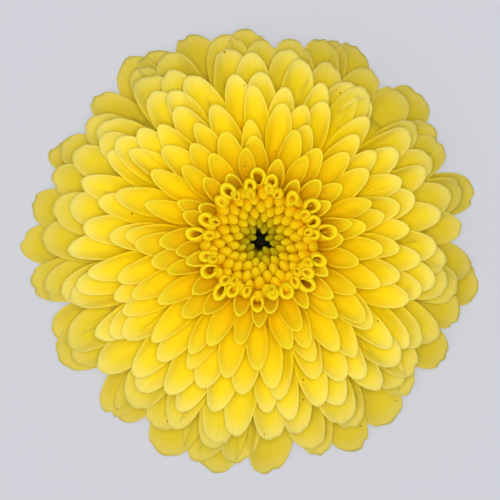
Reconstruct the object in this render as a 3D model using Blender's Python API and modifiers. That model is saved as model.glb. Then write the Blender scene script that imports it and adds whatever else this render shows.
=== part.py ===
"""A pompon chrysanthemum bloom as picked, resting face up.

A dome of layered yellow florets stands round a tight centre of young closed ones, over a green calyx and a
short stub of the stem. Metres, +Z up. The origin is on the surface that the bloom rests on, at the foot of
the stem stub and on the head's axis. Azimuths run anticlockwise from +X, seen from above.
"""

import math
from dataclasses import dataclass

import bmesh
import bpy
import numpy as np
from mathutils import Vector

MM = 0.001
GOLDEN_ANGLE = math.pi * (3 - math.sqrt(5))
SEED = 7

# How the florets are packed, seen from above. Each one takes a share of the head's area.
REACH = 47.7 * MM
PIT_RADIUS = 1.5 * MM
YOUNG_LIMIT = 10.2 * MM
ROLLED_LIMIT = 15.5 * MM
LAST_TIP = 46.8 * MM
YOUNG_SHARE = 4.8e-6
OPEN_SHARE = 27.5e-6
SHARE_GROWS = (9 * MM, 19 * MM)
RIM_CROWDING = 0.06
CROWDED_FROM = (38 * MM, 45 * MM)
FIRST_AZIMUTH = 0.4
RIM_SHIFT = (-1.9 * MM, -1.5 * MM)

# The receptacle that the florets grow from, a low dome
RECEPTACLE_RADIUS = 8.3 * MM
RECEPTACLE_EDGE = 11.0 * MM
RECEPTACLE_RISE = 3.5 * MM

# How each measure changes from the centre of the head to its rim, as (tip radius in mm, value)
TIP_HEIGHT_MM = ((0, 25.5), (2, 26.5), (5, 29.0), (8, 31.3), (10.5, 32.3), (13, 32.2), (16, 31.4), (20, 29.6),
                 (25, 26.6), (30, 22.8), (35, 17.9), (39, 12.9), (42, 8.3), (45, 3.0), (48, -1.8))
START_RISE_DEG = ((0, 92), (8, 86), (14, 78), (20, 66), (30, 46), (38, 28), (44, 12), (47, 4))
END_RISE_DEG = ((0, 112), (3, 122), (6, 118), (8.5, 104), (10.5, 84), (13, 66), (16, 52), (20, 40), (25, 30),
                (30, 20), (36, 7), (42, -10), (45, -22), (48, -30))
WIDTH_MM = ((0, 3.0), (5, 5.0), (9, 6.2), (16, 6.0), (20, 6.2), (26, 6.6), (32, 7.3), (38, 8.2), (43, 9.3),
            (47, 9.9))
CUP_DEG = ((9, 150), (11, 140), (13, 122), (15.5, 104), (18, 84), (22, 66), (27, 54), (33, 43), (40, 33), (47, 24))
TIP_LIFT_MM = ((0, 0), (10, 0.3), (15, 1.0), (22, 1.5), (30, 1.2), (38, 0.7), (43, 0.2), (47, -0.3))
YOUNG_RADIUS_MM = ((0, 0.62), (2, 0.70), (4, 0.95), (7, 1.22), (10.5, 1.45))

# A floret's blade. Stations run from 0 at the root to 1 at the tip, and widths are shares of the full width.
WIDEST_AT = 0.72
SHOULDER_AT = 0.91
TIP_ROUNDNESS = 2.1
BLUNTNESS = 0.3
BASE_WIDTH = 0.2
SLIMNESS = 0.86
RIB = 1.1 * MM
BLADE_LENGTH = 11.5 * MM

# The lowest petals run whole from the calyx to the rim, as a skirt
SKIRT_FLORETS = 34
SKIRT_START = 0.02
SKIRT_MIDDLE = 0.4

# A young floret's club, as (distance back from its tip, swell), both in the floret's own radii
CLUB_RINGS = ((4.6, 0.75), (1.3, 1.04), (0.4, 0.72))
CLUB_SIDES = 5

# The body inside the head, which the florets stand out of
CORE_DEPTH = 4.7 * MM
CORE_TOP_RADII = (13.0, 21.0, 28.5, 34.0)
CORE_EDGE = (36.0, 8.6)
CORE_UNDERSIDE = ((31.0, 9.9), (24.0, 11.2), (14.0, 11.5), (8.9, 11.2), (7.6, 10.2))
CORE_SIDES = 20
WELL_FLOOR = 14.0 * MM
WELL_TOP = 42.0 * MM
WELL_STATIONS = (0.12, 0.35, 0.6, 0.8, 1.0)
GAP = 0.3 * MM

# The young centre's own body, as (radius, height) in mm
CENTRE_BODY = ((1.2, 21.5), (3.2, 23.4), (6.0, 26.6), (8.6, 28.2), (10.5, 27.0), (12.0, 12.0))

# The calyx: a cup under the head, and rows of bracts as (count, tip radius, tip height) in mm
CALYX_CUP = ((9.2, 9.9), (9.0, 8.6), (7.6, 6.6), (5.2, 5.2), (2.9, 4.6))
BRACT_ROWS = ((11, 15.5, 9.1), (9, 12.6, 7.4))
BRACT_ROOT = (5.2 * MM, 7.4 * MM)
BRACT_RISE = math.radians(11)
BRACT_WIDTH = 3.2 * MM
BRACT_RINGS = ((0.0, 1.0), (0.6, 0.9))
BRACT_CURL = 0.25
BRACT_RIB = 1.0 * MM

# The stub of the stem
STUB_RADIUS = 2.5 * MM
STUB_TOP_RADIUS = 2.8 * MM
STUB_TOP = 4.3 * MM
STUB_SIDES = 14


@dataclass
class Floret:
    """One floret. Points are (radius, height) in the upright plane through the head's axis at its azimuth."""

    azimuth: float
    root: np.ndarray
    tip: np.ndarray
    start_rise: float
    end_rise: float
    width: float = 0.0
    cup: float = 0.0
    lift: float = 0.0
    bend: float = 0.0
    roll: float = 0.0
    young_radius: float = 0.0


def smooth(low, high, x):
    """0 below low, 1 above high, and an even S between."""
    t = min(max((x - low) / (high - low), 0.0), 1.0)
    return t * t * (3 - 2 * t)


def graded(profile, radius):
    """A profile's value at a tip radius."""
    return float(np.interp(radius / MM, *np.transpose(profile)))


def tip_radii():
    """The tips' distances from the axis, centre first, each a little further out than the last."""
    radius = math.hypot(PIT_RADIUS, math.sqrt(YOUNG_SHARE / math.pi))
    radii = [radius]
    while radius < LAST_TIP:
        share = YOUNG_SHARE + (OPEN_SHARE - YOUNG_SHARE) * smooth(*SHARE_GROWS, radius)
        share *= 1 - RIM_CROWDING * smooth(*CROWDED_FROM, radius)
        radius = math.sqrt(radius**2 + share / math.pi)
        radii.append(radius)
    return radii


def make_floret(index, count, radius, draws):
    """The floret at this place in the spiral. The draws run from -1 to 1, and 0 gives the even form."""
    turn, reach, height, rise, breadth, sway, twist = draws
    loose = smooth(8 * MM, 20 * MM, radius)
    root = RECEPTACLE_RADIUS * math.sqrt((index + 1) / count)
    root_height = RECEPTACLE_EDGE + RECEPTACLE_RISE * (1 - (root / RECEPTACLE_RADIUS) ** 2)
    radius *= 1 + 0.02 * reach * loose
    return Floret(
        azimuth=FIRST_AZIMUTH + index * GOLDEN_ANGLE + math.radians(2.5) * turn * loose,
        root=np.array((root, root_height)),
        tip=np.array((radius, graded(TIP_HEIGHT_MM, radius) * MM + 0.6 * MM * height * loose)),
        start_rise=math.radians(graded(START_RISE_DEG, radius)),
        end_rise=math.radians(graded(END_RISE_DEG, radius) + 4 * rise),
        width=graded(WIDTH_MM, radius) * MM * (1 + 0.1 * breadth),
        cup=math.radians(graded(CUP_DEG, radius)),
        lift=graded(TIP_LIFT_MM, radius) * MM,
        bend=0.06 * sway,
        roll=math.radians(9) * twist * loose,
        young_radius=graded(YOUNG_RADIUS_MM, radius) * MM,
    )


def make_florets():
    radii = tip_radii()
    draws = np.random.default_rng(SEED).uniform(-1, 1, (len(radii), 7))
    return [make_floret(i, len(radii), r, draws[i]) for i, r in enumerate(radii)]


def spine(floret, s):
    """The floret's middle line at s, from 0 at the root to 1 at the tip: the point, and its way along."""
    chord = np.linalg.norm(floret.tip - floret.root)
    start = np.array((math.cos(floret.start_rise), math.sin(floret.start_rise)))
    end = np.array((math.cos(floret.end_rise), math.sin(floret.end_rise)))
    a = floret.root
    b = floret.root + 0.36 * chord * start
    c = floret.tip - 0.36 * chord * end
    d = floret.tip
    t = 1 - s
    point = t**3 * a + 3 * t * t * s * b + 3 * t * s * s * c + s**3 * d
    along = t * t * (b - a) + 2 * t * s * (c - b) + s * s * (d - c)
    along /= np.linalg.norm(along)
    inward = np.array((-along[1], along[0]))
    return point + inward * floret.lift * smooth(0.62, 1.05, s) ** 1.5, along


def place(floret, s, across, inward):
    """The world point this far across the floret's spine and this far to its inner side."""
    across, inward = (
        across * math.cos(floret.roll * s) - inward * math.sin(floret.roll * s),
        across * math.sin(floret.roll * s) + inward * math.cos(floret.roll * s),
    )
    point, along = spine(floret, s)
    chord = np.linalg.norm(floret.tip - floret.root)
    across += floret.bend * chord * s * s
    radius = point[0] - along[1] * inward
    height = max(point[1] + along[0] * inward, 0.0)
    cosine, sine = math.cos(floret.azimuth), math.sin(floret.azimuth)
    shift = (radius / REACH) ** 2
    return (
        radius * cosine - across * sine + RIM_SHIFT[0] * shift,
        radius * sine + across * cosine + RIM_SHIFT[1] * shift,
        height,
    )


def tip_extent(s):
    """How much of its full breadth a round-tipped blade keeps at s."""
    past = max(s - WIDEST_AT, 0) / (1 - WIDEST_AT)
    return (1 - past**TIP_ROUNDNESS) ** (1 / TIP_ROUNDNESS)


def blade_ring(floret, s, ribs):
    """One cross-section: the back face's points from edge to edge, then the inner face's points back."""
    half = 0.5 * SLIMNESS * floret.width * (BASE_WIDTH + (1 - BASE_WIDTH) * smooth(0.05, 0.75, s))
    bend_radius = half / floret.cup
    angles = np.linspace(1, -1, ribs) * floret.cup * tip_extent(s)
    offsets = np.array([0.0] + [RIB / 2] * (ribs - 2) + [0.0])
    ring = [(a, bend_radius + o) for a, o in zip(angles, offsets)]
    ring += [(a, bend_radius - o) for a, o in zip(angles[-2:0:-1], offsets[-2:0:-1])]
    return [place(floret, s, r * math.sin(a), bend_radius - r * math.cos(a)) for a, r in ring]


def loft(name, rings, tips, ribs):
    """A closed mesh through the rings to one tip point or a blunt edge of two. A blade's faces split alike."""
    points = [point for ring in rings for point in ring] + tips
    size = len(rings[0])
    faces = [tuple(range(size))]
    for i in range(len(rings) - 1):
        for j in range(size):
            low, low_next = i * size + j, i * size + (j + 1) % size
            high, high_next = low + size, low_next + size
            if j < ribs - 1:
                faces += [(low, high, high_next), (low, high_next, low_next)]
            else:
                faces += [(low, high, low_next), (low_next, high, high_next)]
    last = (len(rings) - 1) * size
    left_tip, right_tip = last + size, len(points) - 1
    for j in range(size):
        tip = left_tip if j in (0, size - 1) else right_tip
        faces.append((last + j, tip, last + (j + 1) % size))
    if left_tip != right_tip:
        faces += [(last + 1, left_tip, right_tip), (last + size - 1, right_tip, left_tip)]
    mesh = bpy.data.meshes.new(name)
    mesh.from_pydata(points, [], faces)
    return bpy.data.objects.new(name, mesh)


def root_station(floret):
    """Where a floret's blade starts: BLADE_LENGTH short of its tip, inside the core."""
    stations = np.linspace(0, 1, 41)
    short_by = [-np.linalg.norm(spine(floret, s)[0] - floret.tip) for s in stations]
    return float(np.interp(-BLADE_LENGTH, short_by, stations))


def petal(floret, in_skirt):
    """An open floret's blade, cupped like a spoon. Those of the skirt run all the way from the calyx."""
    ribs = 4 if floret.tip[0] < ROLLED_LIMIT else 3
    start = SKIRT_START if in_skirt else root_station(floret)
    stations = (start,) + (SKIRT_MIDDLE,) * in_skirt + (WIDEST_AT, SHOULDER_AT)
    rings = [blade_ring(floret, s, ribs) for s in stations]
    blunt = BLUNTNESS * SLIMNESS * floret.width / 2
    tips = [place(floret, 1.0, across, 0) for across in (blunt, -blunt)]
    return loft("blade", rings, tips, ribs)


def young_floret(floret):
    """A closed young floret: a small club with a rounded end."""
    chord = np.linalg.norm(floret.tip - floret.root)
    rings = []
    angles = [2 * math.pi * (i + 0.5) / CLUB_SIDES for i in range(CLUB_SIDES)]
    for back, swell in CLUB_RINGS:
        s = 1 - back * floret.young_radius / chord
        swell *= floret.young_radius
        rings.append([place(floret, s, -swell * math.sin(a), -swell * math.cos(a)) for a in angles])
    return loft("club", rings, [place(floret, 1.0, 0, 0)], 0)


def bract(azimuth, tip_radius, tip_height):
    """A calyx bract: a narrow pointed leaf pressed up under the lowest petals."""
    leaf = Floret(azimuth, root=np.array(BRACT_ROOT), tip=np.array((tip_radius, tip_height)),
                  start_rise=BRACT_RISE, end_rise=BRACT_RISE)
    rings = []
    for s, extent in BRACT_RINGS:
        half = BRACT_WIDTH / 2 * extent
        edge = BRACT_CURL * half
        ring = ((half, edge), (0, -BRACT_RIB / 2), (-half, edge), (0, BRACT_RIB / 2))
        rings.append([place(leaf, s, across, inward) for across, inward in ring])
    return loft("bract", rings, [place(leaf, 1.0, 0, 0)], 3)


def turned(name, outline, sides):
    """A solid turned from (radius, height) points that run down its outer side from the axis to the axis."""
    mesh = bpy.data.meshes.new(name)
    points = [(radius, 0, height) for radius, height in outline]
    mesh.from_pydata(points, [(i, i + 1) for i in range(len(points) - 1)], [])
    body = bpy.data.objects.new(name, mesh)
    screw = body.modifiers.new("turn", "SCREW")
    screw.steps = sides
    screw.render_steps = sides
    screw.use_merge_vertices = True
    screw.merge_threshold = 0.00001
    return body


def in_metres(points):
    return [(radius * MM, height * MM) for radius, height in points]


def core_outline():
    """The head's body: CORE_DEPTH under the dome of tips, with an underside just above the lowest petals."""
    top = [(r * MM, graded(TIP_HEIGHT_MM, r * MM) * MM - CORE_DEPTH) for r in CORE_TOP_RADII]
    underside = in_metres(CORE_UNDERSIDE)
    return [(0, top[0][1])] + top + in_metres((CORE_EDGE,)) + underside + [(0, underside[-1][1])]


def centre_outline(count, index, side, floor):
    """What parts the young centre from the open florets: a funnel along the spine of the last young floret."""
    wall_floret = make_floret(index, count, YOUNG_LIMIT, np.zeros(7))
    wall = [spine(wall_floret, s)[0] for s in WELL_STATIONS]
    wall = [(radius + side, height) for radius, height in wall if height > floor + MM]
    top = (wall[-1][0], WELL_TOP)
    return [(0, WELL_TOP), top] + wall[::-1] + [(wall[0][0], floor), (0, floor)]


def apply_modifiers(body, collection):
    """Swaps the object's mesh for the one that its modifiers make, and moves it into the collection."""
    bpy.context.view_layer.update()
    graph = bpy.context.evaluated_depsgraph_get()
    mesh = bpy.data.meshes.new_from_object(body.evaluated_get(graph))
    body.modifiers.clear()
    body.data = mesh
    for owner in body.users_collection:
        owner.objects.unlink(body)
    collection.objects.link(body)


def join(body, pieces, collection):
    """Fuses the pieces into the body. MANIFOLD is used because EXACT takes minutes over so many."""
    repeats = bpy.data.collections.new("repeats")
    bpy.context.scene.collection.children.link(repeats)
    bpy.context.scene.collection.objects.link(body)
    for piece in pieces:
        repeats.objects.link(piece)
    union = body.modifiers.new("union", "BOOLEAN")
    union.operation = "UNION"
    union.operand_type = "COLLECTION"
    union.collection = repeats
    union.solver = "MANIFOLD"
    apply_modifiers(body, collection)
    for piece in list(repeats.objects):
        bpy.data.objects.remove(piece)
    bpy.data.collections.remove(repeats)


def trim(body, cutter, operation, collection):
    """Cuts the body by the cutter, which is then removed."""
    bpy.context.scene.collection.objects.link(cutter)
    cut = body.modifiers.new("trim", "BOOLEAN")
    cut.operation = operation
    cut.object = cutter
    cut.solver = "MANIFOLD"
    apply_modifiers(body, collection)
    bpy.data.objects.remove(cutter)


def keep_largest(body):
    """Drops the loose scraps that a cut leaves."""
    shape = bmesh.new()
    shape.from_mesh(body.data)
    unseen = set(shape.verts)
    islands = []
    while unseen:
        front = [unseen.pop()]
        island = list(front)
        while front:
            vertex = front.pop()
            near = {edge.other_vert(vertex) for edge in vertex.link_edges} & unseen
            unseen.difference_update(near)
            front += near
            island += near
        islands.append(island)
    islands.sort(key=len)
    scraps = [vertex for island in islands[:-1] for vertex in island]
    bmesh.ops.delete(shape, geom=scraps, context="VERTS")
    shape.to_mesh(body.data)
    shape.free()


def finish(body, name, colour, roughness):
    """Names the object, gives it its material and shades it smooth."""
    material = bpy.data.materials.new(name)
    material.use_nodes = True
    surface = material.node_tree.nodes["Principled BSDF"]
    surface.inputs["Base Color"].default_value = (*colour, 1)
    surface.inputs["Roughness"].default_value = roughness
    surface.inputs["Metallic"].default_value = 0
    body.name = name
    body.data.materials.clear()
    body.data.materials.append(material)
    body.data.shade_smooth()
    body.data.set_sharp_from_angle(angle=math.radians(40))


def add_petals(florets, young_count, collection):
    body = turned("petals", core_outline(), CORE_SIDES)
    skirt_from = len(florets) - SKIRT_FLORETS
    blades = [petal(f, i >= skirt_from) for i, f in enumerate(florets) if i >= young_count]
    join(body, blades, collection)
    well = centre_outline(len(florets), young_count, GAP / 2, WELL_FLOOR - GAP)
    trim(body, turned("well", well, CORE_SIDES), "DIFFERENCE", collection)
    keep_largest(body)
    finish(body, "petals", (0.86, 0.64, 0.04), 0.5)


def add_centre(florets, young_count, collection):
    outline = in_metres(CENTRE_BODY)
    outline = [(0, outline[0][1])] + outline + [(0, outline[-1][1])]
    body = turned("centre_florets", outline, CORE_SIDES)
    join(body, [young_floret(f) for f in florets[:young_count]], collection)
    plug = centre_outline(len(florets), young_count, -GAP / 2, WELL_FLOOR)
    trim(body, turned("plug", plug, CORE_SIDES), "INTERSECT", collection)
    keep_largest(body)
    finish(body, "centre_florets", (0.72, 0.6, 0.03), 0.5)


def add_calyx(collection):
    cup = in_metres(CALYX_CUP)
    body = turned("calyx", [(0, cup[0][1])] + cup + [(0, cup[-1][1])], CORE_SIDES)
    bracts = []
    for row, (count, radius, height) in enumerate(BRACT_ROWS):
        for i in range(count):
            azimuth = 2 * math.pi * (i + 0.37 * row) / count
            bracts.append(bract(azimuth, radius * MM, height * MM))
    join(body, bracts, collection)
    keep_largest(body)
    finish(body, "calyx", (0.16, 0.27, 0.05), 0.6)


def add_stem(collection):
    shape = bmesh.new()
    bmesh.ops.create_cone(shape, cap_ends=True, segments=STUB_SIDES, radius1=STUB_RADIUS,
                          radius2=STUB_TOP_RADIUS, depth=STUB_TOP)
    bmesh.ops.translate(shape, verts=shape.verts, vec=Vector((0, 0, STUB_TOP / 2)))
    mesh = bpy.data.meshes.new("stem")
    shape.to_mesh(mesh)
    shape.free()
    body = bpy.data.objects.new("stem", mesh)
    collection.objects.link(body)
    finish(body, "stem", (0.2, 0.3, 0.07), 0.6)


def main():
    for thing in list(bpy.data.objects):
        bpy.data.objects.remove(thing)
    collection = bpy.data.collections.new("pompon_chrysanthemum")
    bpy.context.scene.collection.children.link(collection)
    florets = make_florets()
    young_count = sum(floret.tip[0] < YOUNG_LIMIT for floret in florets)
    add_petals(florets, young_count, collection)
    add_centre(florets, young_count, collection)
    add_calyx(collection)
    add_stem(collection)


main()
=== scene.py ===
"""The looks of a pompon chrysanthemum bloom, lying face up on a pale surface.

Each petal is a thin sheet worked out with numpy. Its spine is a cubic curve in the upright plane through
the head's axis, and its cross-section is an arc, flat in the outer petals and cupped further in. The florets
beside the centre are tubes with a thick lip, and the youngest are closed clubs. Lengths are in metres and
angles in radians unless a name says so.
"""

import math
from dataclasses import dataclass, fields

import bpy
import numpy as np
from bpy.props import FloatProperty, FloatVectorProperty, IntProperty, PointerProperty
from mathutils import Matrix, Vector


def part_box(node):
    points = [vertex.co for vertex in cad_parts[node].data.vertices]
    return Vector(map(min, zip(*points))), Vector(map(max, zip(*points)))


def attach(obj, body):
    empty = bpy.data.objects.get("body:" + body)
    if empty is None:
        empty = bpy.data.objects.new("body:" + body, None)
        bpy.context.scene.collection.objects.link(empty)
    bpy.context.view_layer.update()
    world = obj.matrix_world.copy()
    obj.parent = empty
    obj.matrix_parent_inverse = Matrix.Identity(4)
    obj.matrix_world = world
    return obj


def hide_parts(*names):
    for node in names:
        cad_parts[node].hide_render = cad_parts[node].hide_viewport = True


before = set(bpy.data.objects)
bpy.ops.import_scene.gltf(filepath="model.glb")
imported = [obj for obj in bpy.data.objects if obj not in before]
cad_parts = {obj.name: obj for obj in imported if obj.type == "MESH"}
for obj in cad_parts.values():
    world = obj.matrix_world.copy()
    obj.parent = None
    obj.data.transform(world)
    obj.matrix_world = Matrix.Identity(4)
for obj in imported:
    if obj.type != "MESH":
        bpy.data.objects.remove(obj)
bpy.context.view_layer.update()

bl_info = {
    "name": "Pompon chrysanthemum",
    "version": (1, 0, 0),
    "blender": (4, 5, 0),
    "location": "View3D > Sidebar > Bloom",
    "description": "Builds a pompon chrysanthemum bloom from its florets, with its calyx and stem stub",
    "category": "Object",
}

MM = 0.001
STUB_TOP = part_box("stem")[1].z

# The packing of the florets, as in the solid model
GOLDEN_ANGLE = math.pi * (3 - math.sqrt(5))
SEED = 7
REACH = 47.7 * MM
PIT_RADIUS = 1.5 * MM
LAST_TIP = 46.8 * MM
ROLLED_LIMIT = 15.4 * MM
INNER_LIMIT = 33.0 * MM
YOUNG_SHARE = 4.8e-6
OPEN_SHARE = 27.5e-6
SHARE_GROWS = (9 * MM, 19 * MM)
RIM_CROWDING = 0.06
CROWDED_FROM = (38 * MM, 45 * MM)
FIRST_AZIMUTH = 0.4
RIM_SHIFT = np.array((-1.9, -1.5)) * MM
RECEPTACLE_RADIUS = 8.3 * MM
RECEPTACLE_EDGE = 11.0 * MM
RECEPTACLE_RISE = 3.5 * MM

# How each measure changes from the centre of the head to its rim, as (tip radius in mm, value)
TIP_HEIGHT_MM = ((0, 25.5), (2, 26.5), (5, 29.0), (8, 31.3), (10.5, 32.3), (13, 32.2), (16, 31.4), (20, 29.6),
                 (25, 26.6), (30, 22.8), (35, 17.9), (39, 12.9), (42, 8.3), (45, 3.0), (48, -1.8))
START_RISE_DEG = ((0, 92), (8, 86), (14, 78), (20, 66), (30, 46), (38, 28), (44, 12), (47, 4))
END_RISE_DEG = ((0, 112), (3, 122), (6, 118), (8.5, 106), (10.5, 88), (13, 66), (16, 52), (20, 41), (25, 30),
                (30, 20), (36, 7), (42, -10), (45, -22), (48, -30))
WIDTH_MM = ((9, 5.0), (12, 5.3), (14, 5.3), (16, 5.1), (18, 5.3), (20, 5.6), (24, 6.4), (28, 7.0),
            (34, 7.7), (38, 8.4), (43, 9.8), (47, 10.6))
CUP_DEG = ((9, 152), (12, 150), (14, 148), (16, 138), (18, 124), (20, 111), (24, 92), (28, 75), (34, 57),
           (40, 43), (47, 31))
TIP_LIFT_MM = ((0, 0), (10, 0.6), (13, 1.4), (17, 2.0), (22, 2.0), (30, 1.6), (38, 0.8), (43, 0.2),
               (47, -0.3))

# How much florets differ from each other, from these tip radii outwards
LOOSE_FROM = (8 * MM, 20 * MM)
REACH_VARIES = 0.02
TURN_VARIES = math.radians(2.5)
HEIGHT_VARIES = 0.6 * MM
RISE_VARIES = math.radians(4)
BREADTH_VARIES = 0.1
GIRTH_VARIES = 0.07
CUP_VARIES = 0.08
LIFT_VARIES = 0.3
SWAY_VARIES = 0.06
ROLL_VARIES = math.radians(9)

# How much more they stray by the looseness. At the rim the reach is held, for the outline's sake.
STRAY_TURN = math.radians(3.5)
STRAY_REACH = 0.03
STRAY_HEIGHT = 0.7 * MM
STRAY_RISE = math.radians(5)
STRAY_SWAY = 0.04
STRAY_ROLL = math.radians(13)
REACH_HELD = (46 * MM, 38 * MM)

# Every floret's spine
HANDLE = 0.36
LIFT_FROM = (0.62, 1.05)
SPINE_STEPS = 65
FLOOR_EASE = 0.9 * MM

# A petal's sheet, as (young, old) where it changes with age
FIRST_STATION = 0.1
WIDEST_AT = (0.74, 0.77)
WIDEST_VARIES = 0.09
TIP_ROUNDNESS = (1.8, 2.3)
ROUNDNESS_VARIES = 0.2
BASE_WIDTH = 0.2
CLAW_CURL_DEG = (150, 45)
CLOSED_CUP = math.radians(155)
LOPSIDED = 0.1
MARGIN_FLARE = 0.75
GROOVE_AT = 0.33
GROOVE_VARIES = 0.14
GROOVE_WIDTH = 0.13
GROOVE_DEPTH = 0.3 * MM
NOTCH_DEPTH = 0.022
BEAD_MM = 0.35
YOUNG_BEAD = 0.5
YOUNG_STOUTER = 0.4

# The young centre has its own, closer spiral, as (tip radius in mm, value)
CENTRE_PIT = 0.65 * MM
CENTRE_LIMIT = 9.0 * MM
KNOB_LIMIT = 10.2 * MM
CENTRE_SHARE_MM2 = ((0, 1.15), (2.5, 1.7), (5, 2.8), (7.5, 3.6), (9.4, 4.6))
CENTRE_HEIGHT_MM = ((0, 27.2), (2, 28.0), (5, 29.9), (8, 31.4), (10.5, 32.3), (13, 32.2))
CENTRE_END_DEG = ((0, 140), (3, 150), (6, 146), (9, 130), (13, 106))
GIRTH_MM = ((0, 0.62), (2.5, 0.9), (4, 1.1), (6, 1.24), (7.5, 1.3), (9.2, 1.32), (10.2, 1.2), (11, 1.28),
            (12, 1.45), (13, 1.65), (14, 1.8), (15.4, 1.9))
CENTRE_BODY_MM = ((0, 21.5), (1.2, 22.0), (2.0, 24.0), (3.2, 25.2), (6.0, 26.8), (8.6, 27.6), (10.5, 25.7),
                  (11.0, 20.0), (0, 19.0))
# Where the pit's painted shadow fades out on the centre body
PIT_SHADOW_EDGE = (1.0 * MM, 3.2 * MM)
CENTRE_SEED_STEP = 5
CENTRE_HEIGHT_VARIES = 0.25 * MM
CENTRE_LEAN_VARIES_DEG = 6
CENTRE_SWAY = 0.2
CENTRE_ROOTS = np.array((0.6, 1.0))

# A closed young floret, in girths back from its tip, with its slit by age
FULL_GIRTH_BACK = 2.3
CLUB_LENGTH = 7.0
SLIT_STARTS = (0.1, 0.17)
SLIT_WIDENS = (0.17, 0.28)

# A rolled floret, in girths
TUBES_OPEN = (9.5 * MM, 15.5 * MM)
TUBE_LENGTH = 6.5
TUBE_DEPTH = 3.6
LIP_BACK = 0.9
LIP_HEIGHT = 0.85


def smooth(low, high, x):
    """0 below low, 1 above high, and 3t^2 - 2t^3 between."""
    t = np.clip((x - low) / (high - low), 0, 1)
    return t * t * (3 - 2 * t)


def graded(profile, radius):
    """A profile's values at these tip radii."""
    distances, values = np.transpose(profile)
    return np.interp(radius / MM, distances, values)


@dataclass
class Florets:
    """Many florets as arrays with a row each. Points are (radius, height) in the plane at the azimuth."""

    azimuth: np.ndarray
    root: np.ndarray
    tip: np.ndarray
    start_rise: np.ndarray
    end_rise: np.ndarray
    width: np.ndarray
    cup: np.ndarray
    lift: np.ndarray
    bend: np.ndarray
    roll: np.ndarray
    girth: np.ndarray
    age: np.ndarray
    pick: np.ndarray
    quirk: np.ndarray

    def chosen(self, rows):
        return Florets(**{field.name: getattr(self, field.name)[rows] for field in fields(self)})

    def chord(self):
        return np.linalg.norm(self.tip - self.root, axis=1)[:, None, None]


def open_share(radius):
    """The area of the head that an open floret takes, by its tip radius."""
    share = YOUNG_SHARE + (OPEN_SHARE - YOUNG_SHARE) * smooth(*SHARE_GROWS, radius)
    return share * (1 - RIM_CROWDING * smooth(*CROWDED_FROM, radius))


def centre_share(radius):
    return graded(CENTRE_SHARE_MM2, radius) * MM**2


def tip_radii(share, pit_radius, limit):
    """Tip distances from the axis: each floret adds its share to the disc inside it."""
    radii = [math.hypot(pit_radius, math.sqrt(share(0.0) / math.pi))]
    while radii[-1] < limit:
        radii.append(math.sqrt(radii[-1] ** 2 + share(radii[-1]) / math.pi))
    return np.array(radii)


def make_florets(radius, seed, looseness):
    """The florets on one spiral, index times the golden angle apart, with small seeded differences."""
    count = len(radius)
    index = np.arange(count)
    turn, reach, height, rise, breadth, sway, twist = np.random.default_rng(seed).uniform(-1, 1, (count, 7)).T
    quirk = np.random.default_rng(seed + 1).uniform(-1, 1, (count, 8))
    loose = smooth(*LOOSE_FROM, radius)
    root = RECEPTACLE_RADIUS * np.sqrt((index + 1) / count)
    root_height = RECEPTACLE_EDGE + RECEPTACLE_RISE * (1 - (root / RECEPTACLE_RADIUS) ** 2)
    radius = radius * (1 + REACH_VARIES * reach * loose)
    stray = looseness * loose
    turn_angle = TURN_VARIES * turn * loose + STRAY_TURN * quirk[:, 0] * stray
    tip_radius = radius * (1 + STRAY_REACH * quirk[:, 1] * stray * smooth(*REACH_HELD, radius))
    tip_height = graded(TIP_HEIGHT_MM, tip_radius) * MM
    tip_height = tip_height + HEIGHT_VARIES * height * loose + STRAY_HEIGHT * quirk[:, 2] * stray
    end_rise = np.radians(graded(END_RISE_DEG, radius)) + RISE_VARIES * rise
    return Florets(
        azimuth=FIRST_AZIMUTH + index * GOLDEN_ANGLE + turn_angle,
        root=np.stack((root, root_height), -1),
        tip=np.stack((tip_radius, tip_height), -1),
        start_rise=np.radians(graded(START_RISE_DEG, radius)),
        end_rise=end_rise + STRAY_RISE * quirk[:, 3] * stray,
        width=graded(WIDTH_MM, radius) * MM * (1 + BREADTH_VARIES * breadth),
        cup=np.radians(graded(CUP_DEG, radius)) * (1 + CUP_VARIES * quirk[:, 4]),
        lift=graded(TIP_LIFT_MM, radius) * MM * (1 + LIFT_VARIES * quirk[:, 5]),
        bend=SWAY_VARIES * sway + STRAY_SWAY * quirk[:, 6] * stray,
        roll=ROLL_VARIES * twist * loose + STRAY_ROLL * quirk[:, 7] * stray,
        girth=graded(GIRTH_MM, radius) * MM * (1 + GIRTH_VARIES * breadth),
        age=radius / REACH,
        pick=np.random.default_rng(seed + 2).uniform(0, 1, count),
        quirk=np.random.default_rng(seed + 3).uniform(-1, 1, (count, 4)),
    )


def spines(florets, stations):
    """The spines at these stations: a cubic curve from root to tip, lifted to its inner side near the tip.

    Gives the points and the inward normals, each florets x stations x 2.
    """
    chord = florets.chord()[:, 0]
    start = np.stack((np.cos(florets.start_rise), np.sin(florets.start_rise)), -1)
    end = np.stack((np.cos(florets.end_rise), np.sin(florets.end_rise)), -1)
    a = florets.root[:, None]
    b = (florets.root + HANDLE * chord * start)[:, None]
    c = (florets.tip - HANDLE * chord * end)[:, None]
    d = florets.tip[:, None]
    s = stations[None, :, None]
    t = 1 - s
    points = t**3 * a + 3 * t * t * s * b + 3 * t * s * s * c + s**3 * d
    along = t * t * (b - a) + 2 * t * s * (c - b) + s * s * (d - c)
    points = points + sideways(along) * florets.lift[:, None, None] * smooth(*LIFT_FROM, s) ** 1.5
    return points, sideways(np.gradient(points, axis=1))


def sideways(along):
    """The unit vectors at a right angle to these, on their left."""
    normal = np.stack((-along[..., 1], along[..., 0]), -1)
    return normal / np.linalg.norm(normal, axis=-1, keepdims=True)


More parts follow.
